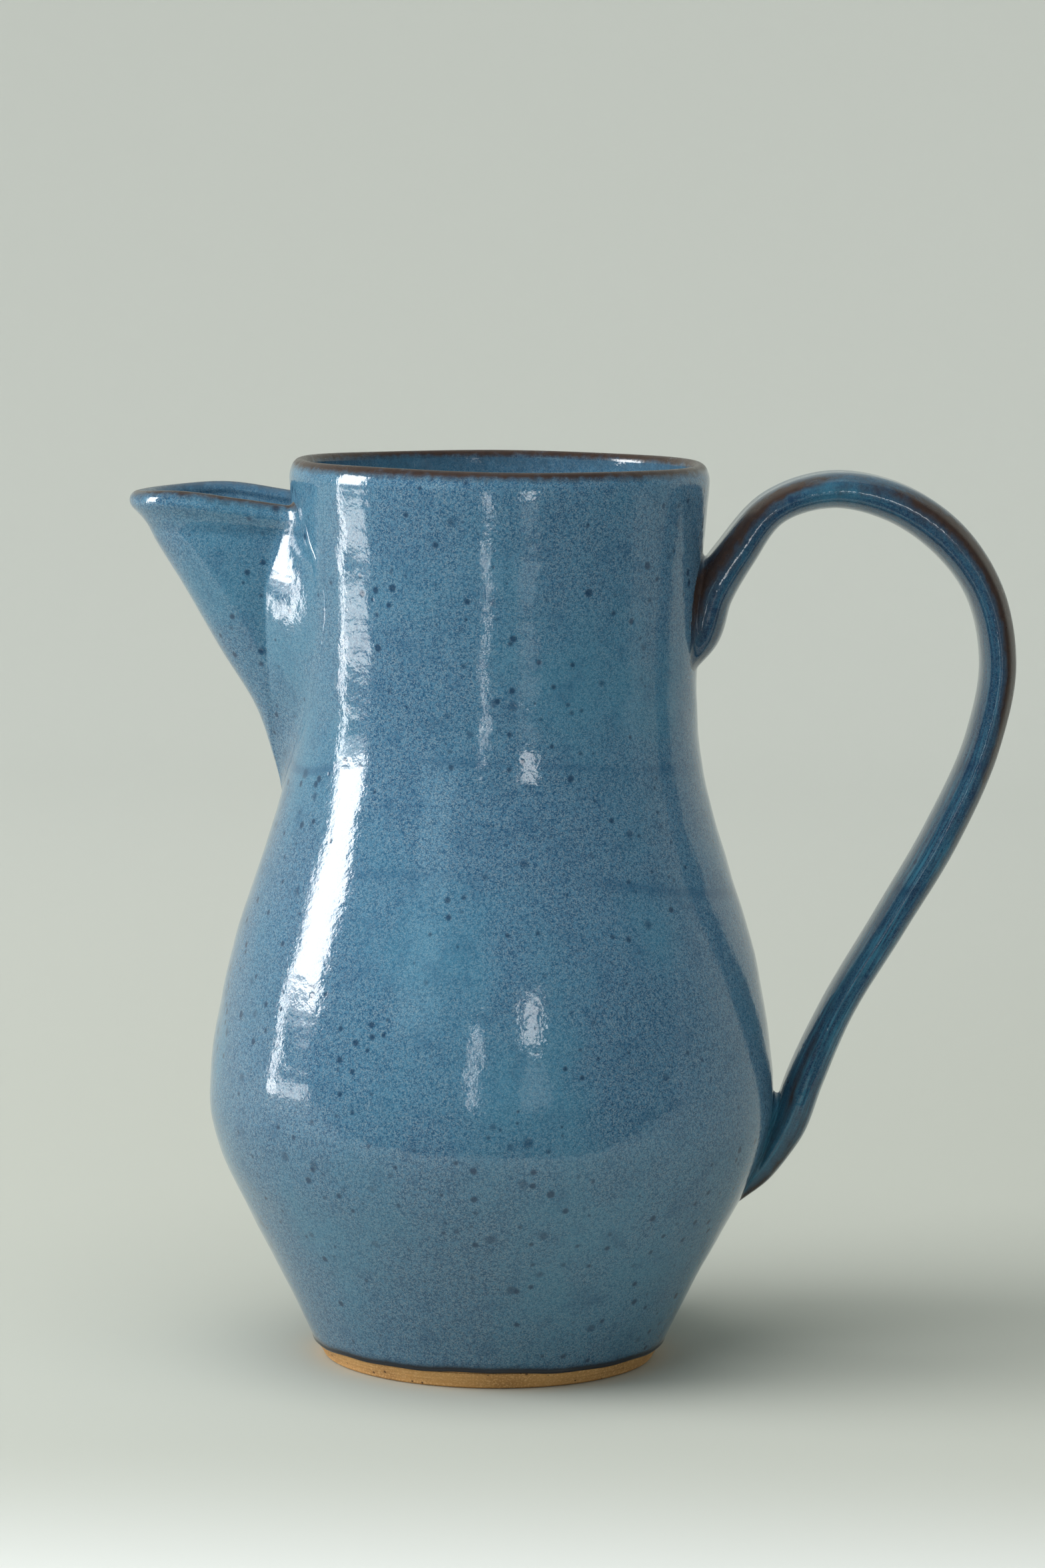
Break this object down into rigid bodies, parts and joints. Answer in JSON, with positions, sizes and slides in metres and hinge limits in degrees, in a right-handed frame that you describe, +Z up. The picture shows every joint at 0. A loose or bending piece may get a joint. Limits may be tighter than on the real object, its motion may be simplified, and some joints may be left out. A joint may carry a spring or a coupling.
{
  "type": "pitcher",
  "caption": "Wheel-thrown stoneware pitcher with a round belly, open luted spout and strap handle, in mottled blue glaze over a bare clay foot.",
  "frame": {"origin": "centre of the flat underside of the foot, on the surface the pitcher stands on", "axes": "+Z up along the thrown body's axis, +X towards the handle, so the spout points near -X, turned 12 degrees towards +Y"},
  "size_m": [0.2361, 0.1508, 0.24],
  "materials": {
    "blue_glaze": "gloss",
    "bare_clay": "matte"
  },
  "bodies": {
    "root": {"thrown_body": "blue_glaze", "turned_foot": "bare_clay", "spout": "blue_glaze", "spout_seam": "blue_glaze", "handle": "blue_glaze", "handle_upper_seam": "blue_glaze", "handle_lower_seam": "blue_glaze"}
  },
  "joints": []
}
